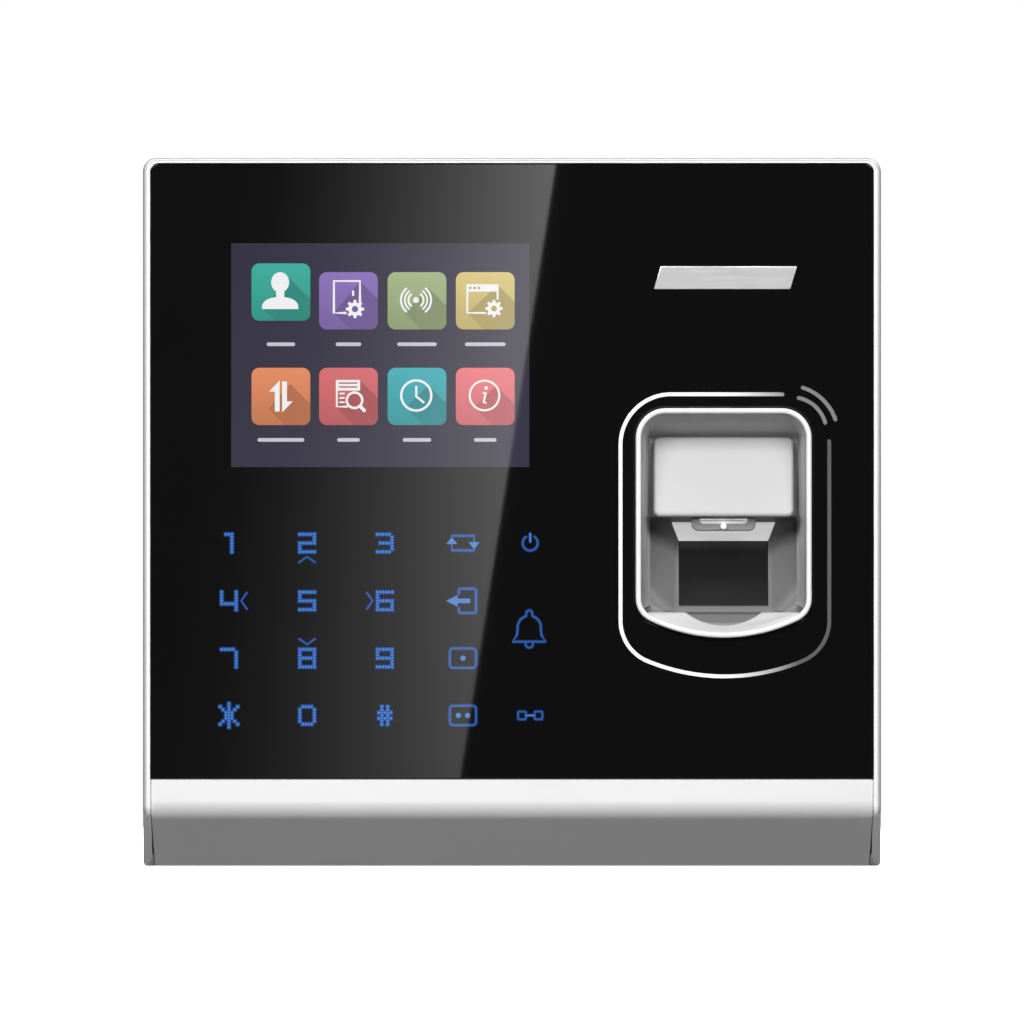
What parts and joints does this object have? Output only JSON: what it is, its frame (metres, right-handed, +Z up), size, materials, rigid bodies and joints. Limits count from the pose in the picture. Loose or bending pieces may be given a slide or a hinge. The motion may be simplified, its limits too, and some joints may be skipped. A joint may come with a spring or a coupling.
{
  "type": "fingerprint scanner terminal",
  "caption": "Wall-mounted fingerprint scanner terminal: black glass front with display, backlit touch keys and a sloping finger bay in a silver frame, hung on a steel wall plate.",
  "frame": {"origin": "centre of the wall plate's screw pattern, on the plate's back face against the wall", "axes": "+X to the right as seen from the front, +Y from the front into the wall, +Z up"},
  "size_m": [0.152, 0.0332, 0.146],
  "materials": {
    "silver_paint": "satin silver paint, fine grain",
    "pale_plastic": "light grey moulded plastic, fine texture",
    "bezel_silver": "bright satin silver",
    "grey_plastic": "mid grey moulded plastic, fine texture",
    "black_panel": "polished, printed black on its back",
    "adhesive": "black foam adhesive",
    "sensor_glass": "hard coated black window",
    "prism_glass": "clear optical glass",
    "light_lens": "clear dome, lit white",
    "black_plastic": "black moulded plastic",
    "dark_plastic": "dark grey moulded plastic, fine texture",
    "zinc_steel": "zinc plated sheet",
    "screw_steel": "plated screw",
    "jack_steel": "plated shield",
    "brass_insert": "knurled insert",
    "circuit_board": "green solder mask",
    "copper": "bare copper track",
    "flex_amber": "amber flexible circuit",
    "flex_white": "white flat cable",
    "display_glass": "dark display",
    "light_guide": "white light guide",
    "relay_blue": "blue relay case",
    "capacitor_can": "sleeved aluminium can",
    "white_plastic": "white connector plastic",
    "terminal_green": "green terminal plastic",
    "terminal_blue": "blue terminal plastic",
    "button_red": "red button cap",
    "label_paper": "blank silver foil label"
  },
  "bodies": {
    "mount_plate": {"wall_plate": "zinc_steel"},
    "terminal": {"front_frame": "silver_paint", "chin_trim": "silver_paint", "status_light_bar": "silver_paint", "scanner_hood": "pale_plastic", "finger_stop": "pale_plastic", "scanner_bezel": "bezel_silver", "nameplate": "bezel_silver", "finger_channel": "grey_plastic", "front_glass": "black_panel", "glass_adhesive": "adhesive", "sensor_window": "sensor_glass", "sensor_prism": "prism_glass", "status_light_lens": "light_lens", "sensor_housing": "black_plastic", "key_light_grid": "black_plastic", "battery_holder": "black_plastic", "processor": "black_plastic", "tamper_switch": "black_plastic", "speaker": "black_plastic", "rear_cover": "dark_plastic", "chassis": "dark_plastic", "display_tray": "zinc_steel", "shield_can": "zinc_steel", "usb_port": "zinc_steel", "backup_battery": "zinc_steel", "chassis_screws": "screw_steel", "main_board_screws": "screw_steel", "case_screws": "screw_steel", "tamper_spring": "screw_steel", "reset_switch": "screw_steel", "ethernet_jack": "jack_steel", "security_insert": "brass_insert", "main_board": "circuit_board", "keypad_board": "circuit_board", "card_antenna_board": "circuit_board", "sensor_camera": "circuit_board", "card_antenna_coil": "copper", "display_ribbon": "flex_amber", "keypad_ribbon": "flex_white", "sensor_ribbon": "flex_white", "display_panel": "display_glass", "display_backlight": "light_guide", "key_leds": "light_guide", "lock_relay": "relay_blue", "capacitors": "capacitor_can", "ribbon_connectors": "white_plastic", "wiring_terminal_left": "terminal_green", "wiring_terminal_right": "terminal_green", "power_terminal": "terminal_blue", "rear_label": "label_paper"},
    "security_screw": {"security_screw": "screw_steel"},
    "tamper_plunger": {"tamper_plunger": "white_plastic"},
    "reset_button": {"reset_button": "button_red"}
  },
  "joints": [
    {"name": "case_lift", "type": "slide", "parent": "mount_plate", "child": "terminal", "axis": [0, 0, 1], "range_m": [0, 0.007]},
    {"name": "security_screw_out", "type": "slide", "parent": "mount_plate", "child": "security_screw", "axis": [0, 0, -1], "range_m": [0, 0.009]},
    {"name": "tamper_follow", "type": "slide", "parent": "terminal", "child": "tamper_plunger", "axis": [0, 1, 0], "range_m": [0, 0.0014], "deforming": ["tamper_spring"]},
    {"name": "reset_press", "type": "slide", "parent": "terminal", "child": "reset_button", "axis": [0, -1, 0], "range_m": [0, 0.0004], "stiffness_N_per_m": 400, "springref_m": -0.001}
  ],
  "couplings": [
    {"joint": "tamper_follow", "follows": "case_lift", "ratio": 0.2}
  ]
}
